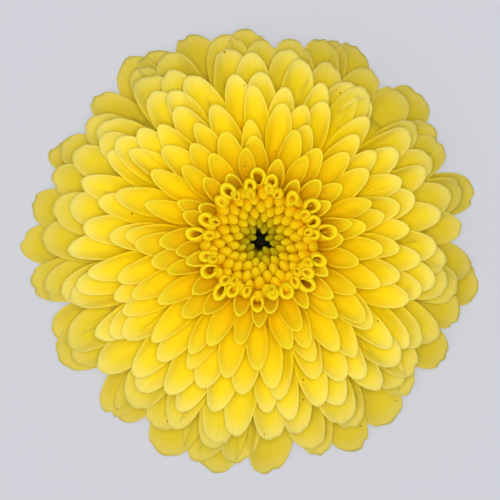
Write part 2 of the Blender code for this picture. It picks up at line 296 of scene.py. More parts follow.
def looked_up(table, stations):
    """Rows of a florets x SPINE_STEPS table at florets x ... stations, blended between steps."""
    place = np.clip(stations, 0, 1) * (SPINE_STEPS - 1)
    step = np.minimum(place.astype(int), SPINE_STEPS - 2)
    part = (place - step)[..., None]
    rows = np.arange(len(table)).reshape((-1,) + (1,) * (stations.ndim - 1))
    return table[rows, step] * (1 - part) + table[rows, step + 1] * part


def placed(florets, stations, across, inward):
    """World points this far across each spine and to its inner side, florets x rows x columns x 3.

    Heights below the floor's are eased up to it, and the rim is shifted, as the bloom is a little lopsided.
    """
    points, normals = spines(florets, np.linspace(0, 1, SPINE_STEPS))
    point = looked_up(points, stations)
    normal = looked_up(normals, stations)
    roll = florets.roll[:, None, None] * stations
    sway = florets.bend[:, None, None] * florets.chord() * stations**2
    turned_across = across * np.cos(roll) - inward * np.sin(roll) + sway
    turned_inward = across * np.sin(roll) + inward * np.cos(roll)
    radius = point[..., 0] + normal[..., 0] * turned_inward
    height = point[..., 1] + normal[..., 1] * turned_inward
    azimuth = florets.azimuth[:, None, None]
    height = 0.5 * (height + np.sqrt(height**2 + FLOOR_EASE**2))
    shift = (np.clip(radius, 0, None) / REACH) ** 2
    x = radius * np.cos(azimuth) - turned_across * np.sin(azimuth) + RIM_SHIFT[0] * shift
    y = radius * np.sin(azimuth) + turned_across * np.cos(azimuth) + RIM_SHIFT[1] * shift
    return np.stack((x, y, height), -1)


def cross_sections(v, half, cup, margin_curl, flare):
    """Points (across, inward) of cross-sections whose slope turns from -cup to cup over the breadth.

    The slope at v is cup ((1 - k) v + k v^5) (1 - f v^6): with k over 0 the margins curl in, and a flare f
    turns the outermost part outwards again. The points are the running sums of its cosine and sine from the
    middle column.
    """
    slope = cup * ((1 - margin_curl) * v + margin_curl * v**5) * (1 - flare * v**6)
    middle = v.shape[-1] // 2
    step = np.diff(v, axis=-1)
    sums = []
    for rate in (np.cos(slope), np.sin(slope)):
        piece = 0.5 * (rate[..., 1:] + rate[..., :-1]) * step
        total = np.concatenate((np.zeros_like(piece[..., :1]), np.cumsum(piece, -1)), -1)
        sums.append(half * (total - total[..., middle : middle + 1]))
    return sums


def petal_sheets(florets, rows, columns, thickness):
    """The florets' blades as thin closed sheets.

    Across the blade v runs from -1 to 1. Each column ends on a round tip, |u|^p + |v|^p = 1 past the widest
    station, so the rim is smooth. Grooves, waves and notches grow with the floret's age. Young sheets are
    thicker, with a bead along their rim.
    """
    v = np.sin(np.linspace(-1, 1, columns) * math.pi / 2)[None, None]
    u = (1 - (1 - np.linspace(0, 1, rows)) ** 1.25)[None, :, None]
    age, pick = florets.age[:, None, None], florets.pick[:, None, None]
    quirk = florets.quirk.T[:, :, None, None]
    old = smooth(0.5, 0.95, age)
    widest = np.interp(old, (0, 1), WIDEST_AT) - WIDEST_VARIES * pick
    roundness = np.interp(old, (0, 1), TIP_ROUNDNESS) - ROUNDNESS_VARIES * pick
    end = widest + (1 - widest) * np.clip(1 - np.abs(v) ** roundness, 0, 1) ** (1 / roundness)
    groove_left = np.exp(-(((v + GROOVE_AT + GROOVE_VARIES * quirk[0]) / GROOVE_WIDTH) ** 2))
    groove_right = np.exp(-(((v - GROOVE_AT - GROOVE_VARIES * quirk[1]) / GROOVE_WIDTH) ** 2))
    groove = groove_left * (0.5 + 0.5 * quirk[2]) + groove_right * (0.5 - 0.5 * quirk[2])
    end = end - NOTCH_DEPTH * old**2 * groove
    s = FIRST_STATION + (end - FIRST_STATION) * u
    breadth = BASE_WIDTH + (1 - BASE_WIDTH) * smooth(0.2 - 0.15 * old, 0.8 - 0.05 * old, s)
    half = 0.5 * florets.width[:, None, None] * breadth
    claw = np.radians(np.interp(smooth(0.3, 0.7, age), (0, 1), CLAW_CURL_DEG))
    cup = florets.cup[:, None, None]
    angle = (cup + np.maximum(claw - cup, 0) * smooth(0.75, 0.4, s)) * (1 + LOPSIDED * quirk[3] * v)
    angle = np.minimum(angle, CLOSED_CUP)
    margin_curl = (0.3 - 0.75 * smooth(0.3, 0.8, age)) * smooth(0.3, 0.8, s)
    flare = MARGIN_FLARE * smooth(0.3, 0.5, age) * smooth(0.35, 0.75, s)
    across, inward = cross_sections(v * np.ones_like(s), half, angle, margin_curl, flare)
    inward = inward - GROOVE_DEPTH * old * smooth(0.3, 0.8, s) * groove
    wave = np.sin(2 * math.pi * ((1.1 + 0.4 * pick) * s + 2 * pick + 0.3 * quirk[3] * np.sign(v)))
    inward = inward + (0.12 + 0.5 * old) * MM * np.abs(v) ** 2.5 * wave * smooth(0.4, 0.9, s)
    middle = placed(florets, s, across, inward)
    face = np.cross(np.gradient(middle, axis=1), np.gradient(middle, axis=2))
    face /= np.linalg.norm(face, axis=-1, keepdims=True) + 1e-20
    edge_mm = np.minimum((1 - np.abs(v)) * half, (end - s) * florets.chord()) / MM
    thinning = np.sqrt(np.clip(np.minimum(1 - np.abs(v) ** 8, 1 - u**18) * np.ones_like(s), 0, 1))
    bead = 1 + YOUNG_BEAD * smooth(0.5, 0.25, age) * np.exp(-(((edge_mm - BEAD_MM) / BEAD_MM) ** 2))
    stout = 1 + YOUNG_STOUTER * smooth(0.5, 0.3, age)
    offset = face * (thickness * stout * (0.12 + 0.38 * thinning) * bead)[..., None]
    marks = {"along": s, "across": v * np.ones_like(s), "age": age * np.ones_like(s),
             "pick": pick * np.ones_like(s), "edge_mm": edge_mm}
    return closed_sheets(middle + offset, middle - offset, marks)


def closed_sheets(inner, outer, marks):
    """Points, faces and marks of sheets with an inner and an outer grid each, joined round their edges."""
    count, rows, columns = inner.shape[:3]
    grid = np.arange(rows * columns).reshape(rows, columns)
    corners = (grid[:-1, :-1], grid[:-1, 1:], grid[1:, 1:], grid[1:, :-1])
    inner_faces = np.stack(corners[::-1], -1).reshape(-1, 4)
    outer_faces = np.stack(corners, -1).reshape(-1, 4) + rows * columns
    ring = np.concatenate((grid[0], grid[1:, -1], grid[-1, -2::-1], grid[-2:0:-1, 0]))
    following = np.roll(ring, -1)
    rim_faces = np.stack((ring, following, following + grid.size, ring + grid.size), -1)
    faces = np.concatenate((inner_faces, outer_faces, rim_faces))
    faces = (faces[None] + (np.arange(count) * 2 * grid.size)[:, None, None]).reshape(-1, 4)
    points = np.stack((inner, outer), 1).reshape(-1, 3)
    doubled = {name: np.stack((values, values), 1).ravel() for name, values in marks.items()}
    return points, faces, doubled


def young_clubs(florets, rows, sides):
    """Closed young florets: clubs along their spines, with a rounded end and a slit on their inner side.

    At d girths back from the tip the radius is girth sqrt(1 - |1 - d/2.3|^2), and slowly less further back.
    The slit is a bell-shaped dip round the club, wider and deeper on the florets further out.
    """
    girth = florets.girth[:, None, None]
    quirk = florets.quirk.T[:, :, None, None]
    u = np.linspace(0, 1, rows)[None, :, None]
    back = 0.002 + CLUB_LENGTH * (1 - u) ** 2
    s = 1 - back * girth / florets.chord()
    swell = np.clip(1 - np.clip(1 - back / FULL_GIRTH_BACK, 0, 1) ** 2, 0, 1) ** 0.5
    swell = swell * (1 - 0.3 * smooth(2.5, CLUB_LENGTH, back))
    turn = np.linspace(0, 2 * math.pi, sides, endpoint=False)[None, None]
    opened = smooth(*SLIT_WIDENS, florets.age[:, None, None])
    depth = (0.12 + 0.68 * opened) * smooth(*SLIT_STARTS, florets.age[:, None, None])
    slit_turn = np.cos((turn - (0.4 + 0.5 * opened) * quirk[0]) / 2) / (0.13 + 0.14 * opened)
    slit = depth * smooth(3.4, 1.6, back) * smooth(0, 0.5, back) * np.exp(-(slit_turn**2))
    uneven = 1 + 0.06 * np.cos(2 * turn + 3 * quirk[1]) + 0.04 * np.cos(3 * turn + 3 * quirk[2])
    reach = girth * swell * (1 - slit) * uneven
    rings = placed(florets, s * np.ones_like(turn), reach * np.sin(turn), -0.92 * reach * np.cos(turn))
    whole = np.ones((len(florets.age), rows, sides))
    marks = {"along": s * whole, "across": np.cos(turn) * whole, "age": florets.age[:, None, None] * whole,
             "pick": florets.pick[:, None, None] * whole, "slit": slit * whole}
    return closed_tubes(rings, marks)


def hooded_tubes(florets, rows, sides):
    """Rolled florets: tubes whose thick lip turns in round a mouth and goes on down the inside.

    Round the tube at turn t the skin is the ellipse (cos t, 0.9 sin t) girths wide, and the mouth's edge a
    smaller one, moved to the inner side. The lip is half an ellipse over from one to the other, lower on the
    inner side. Mouths grow with the distance from the centre.
    """
    girth = florets.girth[:, None, None]
    quirk = florets.quirk.T[:, :, None, None]
    opened = np.clip(smooth(*TUBES_OPEN, florets.age[:, None, None] * REACH) + 0.15 * quirk[0], 0, 1)
    turn = np.linspace(0, 2 * math.pi, sides, endpoint=False)[None, None]
    toward = -np.cos(turn)
    beside = np.sin(turn)
    uneven = 1 + 0.05 * np.cos(2 * turn + 3 * quirk[1]) + 0.04 * np.cos(3 * turn + 3 * quirk[2])
    skin = (toward * uneven, 0.9 * beside * uneven)
    mouth_long = 0.2 + 0.4 * opened
    mouth_wide = 0.06 + 0.3 * opened * (1 + 0.35 * quirk[3])
    slant = 0.15 * quirk[1]
    mouth_toward = 0.3 - 0.15 * opened + mouth_long * toward
    mouth = (mouth_toward, mouth_wide * beside * (1 - 0.6 * toward) + slant * mouth_toward)
    lowered = (0.2 + 0.7 * opened) * (0.5 + 0.5 * toward)
    wall_rows, lip_rows = rows // 2, rows // 3
    wall = np.linspace(0, 1, wall_rows, endpoint=False)[None, :, None] ** 0.7
    lip = np.linspace(0, math.pi, lip_rows, endpoint=False)[None, :, None]
    inside = np.linspace(0, 1, rows - wall_rows - lip_rows)[None, :, None]
    swell = 0.6 + 0.4 * smooth(0, 0.75, wall)
    across_lip = 0.5 - 0.5 * np.cos(lip)
    hollow = 1 + 0.5 * inside * (1 - 0.4 * inside)
    inward = [skin[0] * swell, skin[0] + (mouth[0] - skin[0]) * across_lip, mouth[0] * hollow]
    across = [skin[1] * swell, skin[1] + (mouth[1] - skin[1]) * across_lip, mouth[1] * hollow]
    lip_back = LIP_BACK + lowered
    back = [TUBE_LENGTH - (TUBE_LENGTH - LIP_BACK) * wall + lowered * wall**2,
            lip_back - LIP_HEIGHT * np.sin(lip), lip_back + (TUBE_DEPTH - lowered) * inside]
    inward, across, back = (np.concatenate([part + 0 * girth * turn for part in parts], 1)
                            for parts in (inward, across, back))
    rings = placed(florets, 1 - back * girth / florets.chord(), across * girth, inward * girth)
    # The inside's depth becomes the slit mark, which the young floret material paints with amber shade.
    depth = np.concatenate((0 * wall, 0 * lip, inside), 1) + 0 * across
    whole = np.ones_like(across)
    marks = {"along": 1 - back * girth / florets.chord(), "age": florets.age[:, None, None] * whole,
             "pick": florets.pick[:, None, None] * whole, "slit": depth}
    return closed_tubes(rings, marks)


def closed_tubes(rings, marks):
    """Points, faces and marks of tubes with a ring of points in each row, closed by a point at each end."""
    count, rows, sides = rings.shape[:3]
    ends = rings[:, (0, -1)].mean(2)
    points = np.concatenate((rings.reshape(count, -1, 3), ends), 1)
    grid = np.arange(rows * sides).reshape(rows, sides)
    low, high = grid[:-1], grid[1:]
    walls = np.stack((low, np.roll(low, -1, 1), np.roll(high, -1, 1), high), -1).reshape(-1, 4)
    foot, head = np.full(sides, rows * sides), np.full(sides, rows * sides + 1)
    foot_faces = np.stack((foot, np.roll(grid[0], -1), grid[0]), -1)
    head_faces = np.stack((head, grid[-1], np.roll(grid[-1], -1)), -1)
    offsets = (np.arange(count) * points.shape[1])[:, None, None]
    quads = (walls[None] + offsets).reshape(-1, 4)
    triangles = (np.concatenate((foot_faces, head_faces))[None] + offsets).reshape(-1, 3)
    capped = {}
    for name, values in marks.items():
        end_values = values[:, (0, -1)].mean(2)
        capped[name] = np.concatenate((values.reshape(count, -1), end_values), 1).ravel()
    return points.reshape(-1, 3), (quads, triangles), capped


def turned(profile, sides):
    """A surface turned about Z from (radius, height) points that run from the axis down its outer side."""
    profile = np.asarray(profile, float)
    angles = np.linspace(0, 2 * math.pi, sides, endpoint=False)
    ring = np.stack((np.cos(angles), np.sin(angles)), -1)
    flat = profile[:, None, :1] * ring[None]
    heights = np.broadcast_to(profile[:, None, 1:], flat.shape[:2] + (1,))
    points = np.concatenate((flat, heights), -1).reshape(-1, 3)
    grid = np.arange(len(points)).reshape(len(profile), sides)
    low, high = grid[1:], grid[:-1]
    faces = np.stack((low, np.roll(low, -1, 1), np.roll(high, -1, 1), high), -1).reshape(-1, 4)
    return points, faces


def rounded(profile, steps):
    """The profile as a smooth line through its points, by cubic blending between them."""
    points = np.asarray(profile, float)
    padded = np.concatenate((2 * points[:1] - points[1:2], points, 2 * points[-1:] - points[-2:-1]))
    t = np.linspace(0, 1, steps, endpoint=False)[None, :, None]
    before, start, end, after = (padded[i : len(points) - 1 + i, None] for i in range(4))
    bend = 2 * before - 5 * start + 4 * end - after
    twist = 3 * start - before - 3 * end + after
    curve = 0.5 * (2 * start + (end - before) * t + bend * t**2 + twist * t**3)
    return np.concatenate((curve.reshape(-1, 2), points[-1:]))


def add_piece(name, points, faces, marks, material, node, slot):
    """Puts a piece in the scene, riding on the one body, in the place of its node.

    Faces are an array of quads, or a tuple of one of quads and one of triangles.
    """
    groups = faces if isinstance(faces, tuple) else (faces,)
    corners = np.concatenate([group.ravel() for group in groups])
    sizes = np.concatenate([np.full(len(group), group.shape[1]) for group in groups])
    mesh = bpy.data.meshes.new(name)
    mesh.vertices.add(len(points))
    mesh.vertices.foreach_set("co", np.ascontiguousarray(points, np.float32).ravel())
    mesh.loops.add(len(corners))
    mesh.loops.foreach_set("vertex_index", corners.astype(np.int32))
    mesh.polygons.add(len(sizes))
    mesh.polygons.foreach_set("loop_start", (np.cumsum(sizes) - sizes).astype(np.int32))
    mesh.update(calc_edges=True)
    mesh.validate()
    for mark, values in marks.items():
        layer = mesh.attributes.new(mark, "FLOAT", "POINT")
        layer.data.foreach_set("value", np.ascontiguousarray(values, np.float32))
    mesh.shade_smooth()
    mesh.materials.append(material)
    piece = bpy.data.objects.new(name, mesh)
    bpy.context.scene.collection.objects.link(piece)
    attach(piece, "root")
    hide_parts(node)


class Shader:
    """A short way to add and link nodes in one node tree."""

    def __init__(self, tree):
        self.tree = tree

    def feed(self, socket, value):
        """Links the socket to another one, or sets its value."""
        if isinstance(value, bpy.types.NodeSocket):
            self.tree.links.new(value, socket)
        else:
            socket.default_value = value

    def node(self, kind, values=None, **settings):
        made = self.tree.nodes.new(kind)
        for name, value in settings.items():
            setattr(made, name, value)
        for key, value in (values or {}).items():
            self.feed(made.inputs[key], value)
        return made

    def mark(self, name):
        return self.node("ShaderNodeAttribute", attribute_name=name).outputs["Fac"]

    def ramp(self, value, low, high):
        """0 at low, 1 at high, clamped and smooth."""
        inputs = {"Value": value, "From Min": low, "From Max": high}
        made = self.node("ShaderNodeMapRange", inputs, interpolation_type="SMOOTHSTEP", clamp=True)
        return made.outputs["Result"]

    def math(self, operation, first, second):
        return self.node("ShaderNodeMath", {0: first, 1: second}, operation=operation).outputs[0]

    def product(self, result, *factors):
        """Sockets and numbers multiplied."""
        for factor in factors:
            result = self.math("MULTIPLY", result, factor)
        return result

    def mix(self, factor, first, second):
        """The first colour at factor 0, and the second at 1. Each is a socket or three numbers."""
        made = self.tree.nodes.new("ShaderNodeMix")
        made.data_type = "RGBA"
        factor_socket, first_socket, second_socket = (made.inputs[index] for index in (0, 6, 7))
        self.feed(factor_socket, factor)
        for socket, colour in ((first_socket, first), (second_socket, second)):
            self.feed(socket, colour if isinstance(colour, bpy.types.NodeSocket) else (*colour, 1))
        return made.outputs[2]


def new_group(name, inputs, outputs):
    """A node group with these inputs, as name: (kind, default), and these outputs, as name: kind."""
    group = bpy.data.node_groups.new(name, "ShaderNodeTree")
    for label, (kind, default) in inputs.items():
        socket = group.interface.new_socket(name=label, in_out="INPUT", socket_type=kind)
        socket.default_value = default
    for label, kind in outputs.items():
        group.interface.new_socket(name=label, in_out="OUTPUT", socket_type=kind)
    shader = Shader(group)
    return group, shader, shader.node("NodeGroupInput").outputs, shader.node("NodeGroupOutput").inputs


FLOAT = "NodeSocketFloat"


def petal_veins():
    """Fine lengthwise veins and a faint grain, as a mask from 0 to 1."""
    if "Petal veins" in bpy.data.node_groups:
        return bpy.data.node_groups["Petal veins"]
    inputs = {"Across": (FLOAT, 0.0), "Along": (FLOAT, 0.0), "Pick": (FLOAT, 0.0), "Count": (FLOAT, 9.0)}
    group, shader, given, out = new_group("Petal veins", inputs, {"Veins": FLOAT})
    x = shader.product(given["Across"], given["Count"])
    y = shader.product(given["Along"], 2.2)
    z = shader.product(given["Pick"], 37.0)
    place = shader.node("ShaderNodeCombineXYZ", {0: x, 1: y, 2: z}).outputs[0]
    noise = shader.node("ShaderNodeTexNoise", {"Vector": place, "Scale": 1.0, "Detail": 3.0}).outputs["Fac"]
    group.links.new(shader.ramp(noise, 0.3, 0.7), out["Veins"])
    return group


def petal_specks():
    """A few tiny dark specks scattered over the bloom, as a mask from 0 to 1."""
    if "Petal specks" in bpy.data.node_groups:
        return bpy.data.node_groups["Petal specks"]
    inputs = {"Spacing per metre": (FLOAT, 260.0), "Size": (FLOAT, 0.06)}
    group, shader, given, out = new_group("Petal specks", inputs, {"Specks": FLOAT})
    place = shader.node("ShaderNodeTexCoord").outputs["Object"]
    cells = shader.node("ShaderNodeTexVoronoi", {"Vector": place, "Scale": given["Spacing per metre"]})
    chosen = shader.node("ShaderNodeSeparateColor", {0: cells.outputs["Color"]}).outputs[0]
    near = shader.math("LESS_THAN", cells.outputs["Distance"], given["Size"])
    rare = shader.math("LESS_THAN", chosen, 0.35)
    group.links.new(shader.product(near, rare), out["Specks"])
    return group


def new_material(name, roughness, specular, subsurface=0.0, radius=(1.0, 0.2, 0.1), scale=1 * MM):
    """A material with these constants. Gives it, its surface's inputs and a Shader for its nodes."""
    material = bpy.data.materials.new(name)
    material.use_nodes = True
    surface = material.node_tree.nodes["Principled BSDF"].inputs
    surface["Roughness"].default_value = roughness
    surface["Specular IOR Level"].default_value = specular
    surface["Subsurface Weight"].default_value = subsurface
    surface["Subsurface Radius"].default_value = radius
    surface["Subsurface Scale"].default_value = scale
    return material, surface, Shader(material.node_tree)


def petal_material(colours):
    """Petal skin: gold in the cup's depth, yellow above, and cream towards an old petal's tip. Painted shade
    in dark amber darkens a young petal's base, a painted highlight lightens its thin rim, and the outermost
    petals are dulled, partly by their own tint and partly by painted shade.

    Old petals have veins, and all have a few specks.
    """
    material, surface, shader = new_material("Petal", 0.6, 0.03, 0.3, (1.0, 0.85, 0.2), 0.8 * MM)
    marks = ("age", "along", "across", "edge_mm", "pick")
    age, along, across, edge, pick = (shader.mark(name) for name in marks)
    old = shader.ramp(age, 0.4, 0.95)
    deep = shader.mix(old, colours.gold, colours.old_gold)
    upper = shader.mix(old, colours.lemon, colours.old_lemon)
    colour = shader.mix(shader.ramp(along, 0.5, 0.97), deep, upper)
    # Painted shade: the base of a young petal, low in its cup, is darkened towards deep amber.
    base = shader.product(shader.ramp(along, 0.84, 0.6), shader.ramp(age, 0.62, 0.35), 0.3)
    colour = shader.mix(base, colour, colours.deep_amber)
    margin = shader.product(shader.ramp(edge, 4.2, 0.2), shader.ramp(age, 0.4, 0.85))
    colour = shader.mix(shader.product(margin, shader.ramp(along, 0.76, 0.98)), colour, colours.cream)
    # Painted highlight: a thin strip along the rim is lightened, where the thin edge catches the light and
    # lets it through.
    rim = shader.product(shader.ramp(edge, 0.9, 0.05), shader.ramp(along, 0.65, 0.95), 0.18)
    colour = shader.mix(rim, colour, shader.mix(old, colours.lemon_rim, colours.cream_rim))
    # The outermost petals are mixed towards a dull tint: partly their own duller colour, partly painted shade
    # on the low rim of the head.
    colour = shader.mix(shader.product(shader.ramp(age, 0.72, 0.98), 0.5), colour, colours.faded)
    places = {"Across": across, "Along": along, "Pick": pick}
    veins = shader.node("ShaderNodeGroup", places, node_tree=petal_veins()).outputs["Veins"]
    colour = shader.mix(shader.product(shader.ramp(age, 0.4, 1.0), 0.22, veins), colour, colours.vein)
    specks = shader.node("ShaderNodeGroup", node_tree=petal_specks()).outputs["Specks"]
    colour = shader.mix(shader.product(specks, 0.8), colour, colours.speck)
    shader.feed(surface["Base Color"], colour)
    return material


def young_material(colours):
    """Young florets: olive round the pit, then green-gold and yellow where they open. Painted shade in amber
    lies on their lower parts, down in the gaps, and inside slits and tubes, deepest at a tube's bottom; a
    painted black shadow fills the pit.
    """
    material, surface, shader = new_material("Young floret", 0.5, 0.05, 0.4, (1.0, 0.9, 0.2), 0.9 * MM)
    age, along, pick, slit = (shader.mark(name) for name in ("age", "along", "pick", "slit"))
    colour = shader.mix(shader.ramp(age, 0.035, 0.09), colours.olive, colours.green_gold)
    colour = shader.mix(shader.ramp(age, 0.08, 0.18), colour, colours.bud)
    colour = shader.mix(shader.ramp(age, 0.2, 0.3), colour, colours.lemon)
    # Painted shade: amber on the lower part of each floret, down in the gaps between them.
    colour = shader.mix(shader.product(shader.ramp(along, 0.98, 0.8), 0.75), colour, colours.amber)
    colour = shader.mix(shader.product(pick, 0.15), colour, colours.green_gold)
    # Painted shade: amber in slits and down the inside of the rolled florets, turning deep amber at the
    # bottom of the inside.
    colour = shader.mix(shader.product(slit, 1.5), colour, colours.amber)
    colour = shader.mix(shader.ramp(slit, 0.5, 1.0), colour, colours.deep_amber)
    # Painted shadow: the pit's near-black colour, on the centre body where only shade falls.
    colour = shader.mix(shader.ramp(along, 0.2, 0.02), colour, colours.pit)
    shader.feed(surface["Base Color"], colour)
    return material


def green_material(name, base, light, grain):
    """Green skin with pale mottles from Object coordinates, with this many grains to the metre."""
    material, surface, shader = new_material(name, 0.6, 0.5, 0.15, (0.6, 1.0, 0.3), 0.6 * MM)
    place = shader.node("ShaderNodeTexCoord").outputs["Object"]
    noise = shader.node("ShaderNodeTexNoise", {"Vector": place, "Scale": grain, "Detail": 6.0}).outputs["Fac"]
    shader.feed(surface["Base Color"], shader.mix(shader.ramp(noise, 0.3, 0.7), base, light))
    return material


def colour_property(name, description, value):
    return FloatVectorProperty(name=name, description=description, subtype="COLOR", size=3, min=0, max=1,
                               default=value)


class BloomColours(bpy.types.PropertyGroup):
    """The bloom's colours."""

    gold: colour_property("Gold", "Depth of a young petal's cup", (0.98, 0.65, 0.0003))
    lemon: colour_property("Lemon", "Upper part of a young petal", (0.98, 0.74, 0.01))
    old_gold: colour_property("Old gold", "Depth of an outer petal", (0.97, 0.73, 0.0003))
    old_lemon: colour_property("Old lemon", "Upper part of an outer petal", (0.93, 0.73, 0.015))
    cream: colour_property("Cream", "Pale margins of an outer petal", (0.90, 0.76, 0.17))
    # A dull tint, partly the oldest petals' own colour and partly painted shade where the head falls away at
    # its rim.
    faded: colour_property("Faded", "Dull tint of the oldest petals", (0.50, 0.39, 0.05))
    # The two rim colours are a painted highlight along a petal's thin edge.
    lemon_rim: colour_property("Lemon rim", "Rim of a young petal", (0.98, 0.78, 0.08))
    cream_rim: colour_property("Cream rim", "Rim of an outer petal", (0.80, 0.70, 0.3))
    vein: colour_property("Vein", "Veins of an old petal", (0.70, 0.50, 0.02))
    speck: colour_property("Speck", "Tiny dark specks", (0.18, 0.10, 0.01))
    olive: colour_property("Olive", "Young florets round the pit", (0.34, 0.30, 0.004))
    green_gold: colour_property("Green gold", "Young florets between", (0.79, 0.57, 0.004))
    bud: colour_property("Bud", "Young and rolled florets round the centre", (0.86, 0.55, 0.003))
    # Amber is painted shade, in the gaps of the centre and inside slits and rolled florets.
    amber: colour_property("Amber", "Inside of a rolled floret and gaps", (0.95, 0.50, 0.0003))
    # Deep amber is painted shade, at a young petal's base and at the bottom of a rolled floret's inside.
    deep_amber: colour_property("Deep amber", "Deepest inside florets", (0.42, 0.15, 0.0003))
    # The pit colour is a painted shadow.
    pit: colour_property("Pit", "The dark pit in the middle", (0.012, 0.012, 0.003))
    bract: colour_property("Bract", "Calyx bracts", (0.13, 0.22, 0.04))
    bract_light: colour_property("Pale bract", "Pale streaks of the bracts", (0.30, 0.40, 0.12))
    stem: colour_property("Stem", "Skin of the stem", (0.16, 0.25, 0.06))
    stem_light: colour_property("Pale stem", "Ridges of the stem", (0.30, 0.40, 0.14))


class BloomSizes(bpy.types.PropertyGroup):
    """The bloom's sizes."""

    seed: IntProperty(name="Seed", description="Picks the small differences between florets", default=SEED)
    looseness: FloatProperty(name="Looseness", description="How far petals stray from the even spiral",
                             default=1.0, min=0, max=2)
    petal_thickness: FloatProperty(name="Petal thickness", description="Of an open petal's blade",
                                   unit="LENGTH", default=0.38 * MM, min=0.1 * MM, max=1 * MM)


class StageSettings(bpy.types.PropertyGroup):
    """The floor, the lights and the camera."""

    floor: colour_property("Floor", "The pale surface", (0.644, 0.651, 0.708))
    camera_height: FloatProperty(name="Camera height", description="Above the surface", unit="LENGTH",
                                 default=1.2)
    view_width: FloatProperty(name="View width", description="What the picture spans at the rim",
                              unit="LENGTH", default=101.35 * MM)
    view_centre: FloatVectorProperty(name="View centre", description="Below the camera", unit="LENGTH",
                                     size=2, default=(-2.23 * MM, -1.82 * MM))
    key: FloatProperty(name="Key light", description="Power of the soft light overhead", default=16.2)
    fill: FloatProperty(name="Side light", description="Power of the light at the lower left", default=3.5)
    sky: FloatProperty(name="Sky", description="Strength of the light from all round", default=0.3)


def petals_between(low, high):
    """The florets of the open spiral whose tip radius is in this range."""
    sizes = bpy.context.scene.bloom_sizes
    florets = make_florets(tip_radii(open_share, PIT_RADIUS, LAST_TIP), sizes.seed, sizes.looseness)
    radius = florets.age * REACH
    return florets.chosen((radius >= low) & (radius < high))


def lean_in(florets):
    """Young florets stand in a shallower bowl and lean further over to the pit."""
    radius = florets.tip[:, 0]
    height, lean = florets.quirk[:, 0], florets.quirk[:, 1]
    florets.tip[:, 1] = graded(CENTRE_HEIGHT_MM, radius) * MM + CENTRE_HEIGHT_VARIES * height
    florets.end_rise = np.radians(graded(CENTRE_END_DEG, radius) + CENTRE_LEAN_VARIES_DEG * lean)
    florets.lift = 0 * florets.lift
    florets.bend = CENTRE_SWAY * florets.bend
    florets.root = florets.root * CENTRE_ROOTS
    return florets


def shared_material(name, maker):
    """The material of this name, made the first time that a piece needs it."""
    return bpy.data.materials.get(name) or maker(bpy.context.scene.bloom_colours)


class AddOuterPetals(bpy.types.Operator):
    """Add the broad outer petals, flat to gently cupped, grooved and pale at their rims"""

    bl_idname = "bloom.outer_petals"
    bl_label = "Outer petals"

    def execute(self, context):
        florets = petals_between(INNER_LIMIT, math.inf)
        thickness = context.scene.bloom_sizes.petal_thickness
        sheets = petal_sheets(florets, rows=22, columns=15, thickness=thickness)
        add_piece("outer_petals", *sheets, shared_material("Petal", petal_material), "petals", "petals")
        return {"FINISHED"}


class AddInnerPetals(bpy.types.Operator):
    """Add the spoon-shaped inner petals"""

    bl_idname = "bloom.inner_petals"
    bl_label = "Inner petals"

    def execute(self, context):
        florets = petals_between(ROLLED_LIMIT, INNER_LIMIT)
        thickness = context.scene.bloom_sizes.petal_thickness
        sheets = petal_sheets(florets, rows=24, columns=17, thickness=thickness)
        add_piece("inner_petals", *sheets, shared_material("Petal", petal_material), "petals", "petals")
        return {"FINISHED"}


class AddRolledFlorets(bpy.types.Operator):
    """Add the rolled florets that ring the centre"""

    bl_idname = "bloom.rolled_florets"
    bl_label = "Rolled florets"

    def execute(self, context):
        tubes = hooded_tubes(petals_between(KNOB_LIMIT, ROLLED_LIMIT), rows=42, sides=36)
        material = shared_material("Young floret", young_material)
        add_piece("rolled_florets", *tubes, material, "petals", "petals")
        return {"FINISHED"}


class AddYoungFlorets(bpy.types.Operator):
    """Add the closed young florets of the centre"""

    bl_idname = "bloom.young_florets"
    bl_label = "Young florets"

    def execute(self, context):
        sizes = context.scene.bloom_sizes
        radii = tip_radii(centre_share, CENTRE_PIT, CENTRE_LIMIT)
        material = shared_material("Young floret", young_material)
        young = lean_in(make_florets(radii, sizes.seed + CENTRE_SEED_STEP, sizes.looseness))
        clubs = young_clubs(young, rows=20, sides=18)
        add_piece("young_florets", *clubs, material, "centre_florets", "centre_florets")
        knobs = young_clubs(lean_in(petals_between(CENTRE_LIMIT, KNOB_LIMIT)), rows=24, sides=24)
        add_piece("closed_florets", *knobs, material, "centre_florets", "centre_florets")
        points, faces = turned(rounded(np.array(CENTRE_BODY_MM) * MM, 3), 40)
        radius = np.hypot(points[:, 0], points[:, 1])
        angle = np.arctan2(points[:, 1], points[:, 0])
        ragged = radius * (1 + 0.16 * np.sin(3 * angle) + 0.14 * np.sin(5 * angle + 1))
        # The centre body shows only in the gaps and the pit: its marks give it painted amber shade all over
        # and the pit's painted shadow towards the middle.
        marks = {"age": radius / REACH, "along": 0.16 * smooth(*PIT_SHADOW_EDGE, ragged)}
        add_piece("centre_body", points, faces, marks, material, "centre_florets", "centre_florets")
        return {"FINISHED"}


HEART_PROFILE_MM = ((0, 20.0), (6, 20.0), (12, 21.5), (20, 19.5), (27, 15.5), (32, 11.5), (33.5, 9.4),
                    (31, 9.6), (24, 10.7), (14, 11.2), (9, 10.8), (7.6, 10.2), (0, 10.2))
FAR_FROM_EDGE_MM = 9.0


